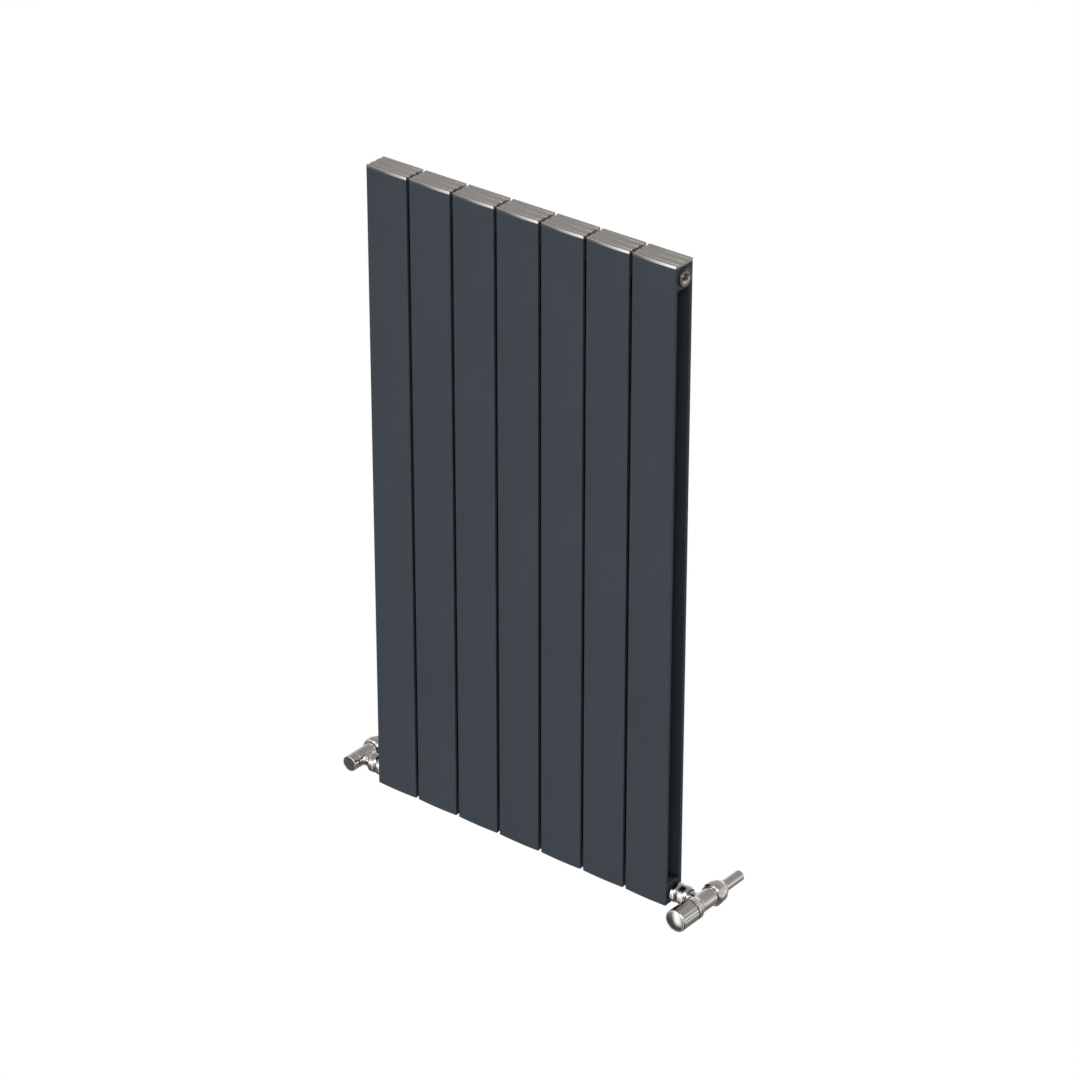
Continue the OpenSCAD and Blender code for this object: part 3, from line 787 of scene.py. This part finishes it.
def handwheel():
    """Fluted grip with a round rim, and the polished dome that closes it."""
    at = crossing(RIGHT)
    front = wheel_low.y - Y_MID
    back = wheel_high.y - Y_MID
    cap_r = (dome_high.x - dome_low.x) / 2
    step = 2 * math.pi / FLUTES

    def fluted(r, s, a):
        if r < WHEEL_R - 2:
            return r
        run_out = min(1, max(0, (s - front - FLUTE_START) / FLUTE_RUN_OUT))
        depth = FLUTE_DEPTH * run_out * run_out * (3 - 2 * run_out)
        centre = WHEEL_R + FLUTE_R - depth
        off = (a + step / 2) % step - step / 2
        under = FLUTE_R ** 2 - (centre * math.sin(off)) ** 2
        if under <= 0:
            return r
        return soft_min(r, centre * math.cos(off) - math.sqrt(under), 0.12)

    rows = [(WHEEL_R, front + RIM_R + 0.4 * k) for k in range(1, 12)]
    profile = rounded([(cap_r + LAP, front), (WHEEL_R, front, RIM_R), rows[0]], closed=False, steps=12)
    profile += rows[1:]
    profile += rounded([rows[-1], (WHEEL_R, back, 0.5), (HUB_RECESS_R, back)], closed=False, steps=5)[1:]
    profile += [(HUB_RECESS_R, HUB_FACE), (SPINDLE_HOLE_R, HUB_FACE), (SPINDLE_HOLE_R, STEP_FACE),
                (STEP_HOLE_R, STEP_FACE), (STEP_HOLE_R, SCREW_SEAT), (SHANK_HOLE_R, SCREW_SEAT),
                (SHANK_HOLE_R, HEAD_SEAT), (HEAD_HOLE_R, HEAD_SEAT), (HEAD_HOLE_R, front + DOME_LAP),
                (cap_r + LAP, front + DOME_LAP)]
    piece("handwheel_grip", turned(at, INTO_WALL, profile, closed=True, around=FLUTES * 28, shape=fluted),
          CHROME, "handwheel", slot="fitting_chrome")
    top = dome_low.y - Y_MID
    height = front - top
    dome_r = (cap_r ** 2 + height ** 2) / (2 * height)
    dome = [(0, top)]
    for k in range(1, 25):
        r = (cap_r - 0.25) * k / 24
        dome.append((r, top + dome_r - math.sqrt(dome_r ** 2 - r ** 2)))
    dome += rounded([dome[-1], (cap_r, front + 0.15, 0.2), (cap_r, front + DOME_LAP)], closed=False)[1:]
    dome.append((0, front + DOME_LAP))
    piece("handwheel_dome", turned(at, INTO_WALL, dome, around=144), CAP_CHROME, "handwheel_end_cap",
          slot="fitting_chrome")


def lockshield_valve():
    """Body with its neck, and the plain cap as a shell with a darker end."""
    at = crossing(LEFT)
    body = rounded([(CHAMBER_R, LOCK_MOUTH), (LOCK_BODY_R, LOCK_MOUTH, 0.6), (LOCK_BODY_R, BODY_END, 0.5),
                    (BODY_THREAD_R, BODY_END), (BODY_THREAD_R, BODY_THREAD_END)]
                   + body_bore(LOCK_MOUTH)[:-1])
    casting = turned(at, INTO_WALL, body, closed=True, around=144)
    piece("lockshield_body_casting", join(casting, neck(LEFT, LOCK_BODY_R)), CHROME, "lockshield_body",
          slot="fitting_chrome")
    front = shield_low.y - Y_MID
    back = shield_high.y - Y_MID
    cap_r = (shield_high.x - shield_low.x) / 2
    disc_r = cap_r - SHELL_LIP
    inner_r = cap_r - SHELL_WALL
    disc_back = front + DISC_T
    shell = rounded([(disc_r, front + 0.5), (disc_r + 0.1, front, 0.1), (cap_r, front, 0.8),
                     (cap_r, back, 0.4), (inner_r, back)], closed=False, steps=8)
    shell += [(inner_r, disc_back), (inner_r - 0.5, disc_back), (inner_r - 0.5, front + 0.5)]
    disc = rounded([(0, front + DISC_SUNK), (disc_r, front + DISC_SUNK, 0.2), (disc_r, disc_back),
                    (0, disc_back)], closed=False)
    piece("lockshield_cap_shell", turned(at, INTO_WALL, shell, closed=True, around=144), CHROME,
          "lockshield_cap", slot="fitting_chrome")
    piece("lockshield_cap_end", turned(at, INTO_WALL, disc, around=144), DARK_CHROME,
          "lockshield_cap", slot="fitting_chrome")


for side, hand in ((RIGHT, "right"), (LEFT, "left")):
    union(side, hand)
    compression_nut(side, hand)
pipe(RIGHT, "supply_pipe")
pipe(LEFT, "return_pipe")
handwheel_valve()
handwheel()
lockshield_valve()


# ---- CAD nodes that stay, with their finishes ----

KEPT = {
    "rubber": (RUBBER, ["spacer_rings", "plug_gaskets", "tail_seals", "gland_orings", "valve_washer",
                        "lockshield_washer"]),
    "brass": (BRASS, ["olives", "valve_spindle", "valve_disc", "lockshield_headwork",
                      "lockshield_spindle", "lockshield_disc"]),
    "steel": (STEEL, ["nipples", "handwheel_screw", "upper_wall_brackets", "lower_wall_brackets"]),
    "pad_plastic": (PLASTIC, ["bracket_pads"]),
}
for slot_name, (finish, nodes) in KEPT.items():
    for node in nodes:
        kept = frame["nodes"][node]
        kept.data.materials.clear()
        kept.data.materials.append(finish)


# ---- floor, light and camera ----

FLOOR_DROP = 0.12
FLOOR_HALF = 6.0


def floor():
    """Plain white floor below the radiator, seen from above only."""
    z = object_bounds()[0].z - FLOOR_DROP
    mesh = bpy.data.meshes.new("floor")
    corners = [(-1, -1), (1, -1), (1, 1), (-1, 1)]
    mesh.from_pydata([(a * FLOOR_HALF, b * FLOOR_HALF, z) for a, b in corners], [], [(0, 1, 2, 3)])
    made = bpy.data.objects.new("floor", mesh)
    bpy.context.scene.collection.objects.link(made)
    paint = bpy.data.materials.new("white_studio_floor")
    paint.use_nodes = True
    tree = paint.node_tree
    tree.nodes.clear()
    glow = tree.nodes.new("ShaderNodeEmission")
    clear = tree.nodes.new("ShaderNodeBsdfTransparent")
    mix = tree.nodes.new("ShaderNodeMixShader")
    facing = tree.nodes.new("ShaderNodeNewGeometry")
    output = tree.nodes.new("ShaderNodeOutputMaterial")
    tree.links.new(facing.outputs["Backfacing"], mix.inputs[0])
    tree.links.new(glow.outputs[0], mix.inputs[1])
    tree.links.new(clear.outputs[0], mix.inputs[2])
    tree.links.new(mix.outputs[0], output.inputs["Surface"])
    mesh.materials.append(paint)
    made.visible_diffuse = False
    made.visible_glossy = False
    made.visible_shadow = False
    made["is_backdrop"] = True


# Studio as the plated parts mirror it: a dim ground, a bright horizon whose glow dies away over
# GLOW degrees, and a grey sky. The two edges are elevations in degrees.
GROUND_LIGHT = 0.22
HORIZON_LIGHT = 0.97
SKY_LIGHT = 0.33
GROUND_EDGE = -36
HORIZON_EDGE = -2
GLOW = 14
# Soft boxes: azimuth from the front towards the right, elevation, half width, half height,
# softness of the sides and of the top and bottom, brightness, and whether it is cool
SOFT_BOXES = [
    (-24.5, 1, 10.5, 39, 8.5, 9, 1.8, True),
    (-30, 34, 40, 18, 10, 10, 0.55, False),
    (38, 38, 24, 18, 4, 4, 3.2, False),
]
# Tint of the cool light, and how much of the light below the horizon stays in front of the wall
COOL = (1.0, 1.056, 1.128)
FRONT_SHADE = 0.5


def studio_world():
    """White to the camera. Other rays see a grey studio with a bright horizon and soft boxes."""
    world = bpy.data.worlds.new("studio")
    bpy.context.scene.world = world
    world.use_nodes = True
    tree = world.node_tree
    tree.nodes.clear()

    def math_node(operation, a, b=None, c=None):
        node = tree.nodes.new("ShaderNodeMath")
        node.operation = operation
        for socket, value in zip(node.inputs, (a, b, c)):
            if isinstance(value, bpy.types.NodeSocket):
                tree.links.new(value, socket)
            elif value is not None:
                socket.default_value = value
        return node.outputs[0]

    def fade(value, low, high):
        node = tree.nodes.new("ShaderNodeMapRange")
        node.interpolation_type = "SMOOTHSTEP"
        tree.links.new(value, node.inputs["Value"])
        node.inputs["From Min"].default_value = low
        node.inputs["From Max"].default_value = high
        return node.outputs["Result"]

    direction = tree.nodes.new("ShaderNodeTexCoord")
    split = tree.nodes.new("ShaderNodeSeparateXYZ")
    tree.links.new(direction.outputs["Generated"], split.inputs[0])
    x, y, z = split.outputs
    azimuth = math_node("DEGREES", math_node("ARCTAN2", x, math_node("MULTIPLY", y, -1.0)))
    elevation = math_node("DEGREES", math_node("ARCSINE", z))

    rise = fade(elevation, GROUND_EDGE, HORIZON_EDGE)
    below = math_node("MULTIPLY_ADD", rise, HORIZON_LIGHT - GROUND_LIGHT, GROUND_LIGHT)
    height = math_node("MAXIMUM", math_node("SUBTRACT", elevation, HORIZON_EDGE), 0.0)
    height = math_node("DIVIDE", height, GLOW)
    glow = math_node("DIVIDE", 1.0, math_node("MULTIPLY_ADD", height, height, 1.0))
    above = math_node("MULTIPLY_ADD", glow, HORIZON_LIGHT - SKY_LIGHT, SKY_LIGHT)

    shade = math_node("MULTIPLY", fade(y, 0.25, -0.25), fade(elevation, 8, -12))
    light = math_node("MULTIPLY", math_node("MINIMUM", below, above),
                      math_node("SUBTRACT", 1.0, math_node("MULTIPLY", shade, 1 - FRONT_SHADE)))
    cool_light = 0.0
    for az, el, half_az, half_el, soft_az, soft_el, strength, cool in SOFT_BOXES:
        across = math_node("ABSOLUTE", math_node("SUBTRACT", azimuth, az))
        upright = math_node("ABSOLUTE", math_node("SUBTRACT", elevation, el))
        inside = math_node("MULTIPLY", fade(across, half_az + soft_az, half_az - soft_az),
                           fade(upright, half_el + soft_el, half_el - soft_el))
        if cool:
            cool_light = math_node("MULTIPLY_ADD", inside, strength, cool_light)
        else:
            light = math_node("MULTIPLY_ADD", inside, strength, light)
    colour = tree.nodes.new("ShaderNodeCombineColor")
    for socket, tint in zip(colour.inputs, COOL):
        tree.links.new(math_node("MULTIPLY_ADD", cool_light, tint, light), socket)

    seen = tree.nodes.new("ShaderNodeLightPath")
    studio = tree.nodes.new("ShaderNodeBackground")
    tree.links.new(colour.outputs[0], studio.inputs["Color"])
    white = tree.nodes.new("ShaderNodeBackground")
    white.inputs["Color"].default_value = (1, 1, 1, 1)
    mix = tree.nodes.new("ShaderNodeMixShader")
    tree.links.new(seen.outputs["Is Camera Ray"], mix.inputs[0])
    tree.links.new(studio.outputs[0], mix.inputs[1])
    tree.links.new(white.outputs[0], mix.inputs[2])
    output = tree.nodes.new("ShaderNodeOutputWorld")
    tree.links.new(mix.outputs[0], output.inputs["Surface"])


VIEW_AZIMUTH = 38.72
VIEW_ELEVATION = 28.46
VIEW_DISTANCE = 5.395
AIM_RIGHT = 0.0355
AIM_UP = 0.0153
SENSOR_WIDTH = 36
FOCAL_LENGTH = 143.3
FAR_CLIP = 60


def camera():
    """Long lens from the front right and above, aimed beside the middle of the front."""
    low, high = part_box("section_4")
    aim = Vector(((low.x + high.x) / 2 + AIM_RIGHT, Y_FRONT * MM, (low.z + high.z) / 2 + AIM_UP))
    a = math.radians(VIEW_AZIMUTH)
    e = math.radians(VIEW_ELEVATION)
    back = Vector((math.sin(a) * math.cos(e), -math.cos(a) * math.cos(e), math.sin(e)))
    data = bpy.data.cameras.new("camera")
    data.sensor_width = SENSOR_WIDTH
    data.lens = FOCAL_LENGTH
    data.clip_end = FAR_CLIP
    made = bpy.data.objects.new("camera", data)
    bpy.context.scene.collection.objects.link(made)
    made.location = aim + back * VIEW_DISTANCE
    made.rotation_mode = "QUATERNION"
    made.rotation_quaternion = (-back).to_track_quat("-Z", "Y")
    bpy.context.scene.camera = made


floor()
studio_world()
camera()
bpy.context.scene.view_settings.view_transform = "Standard"
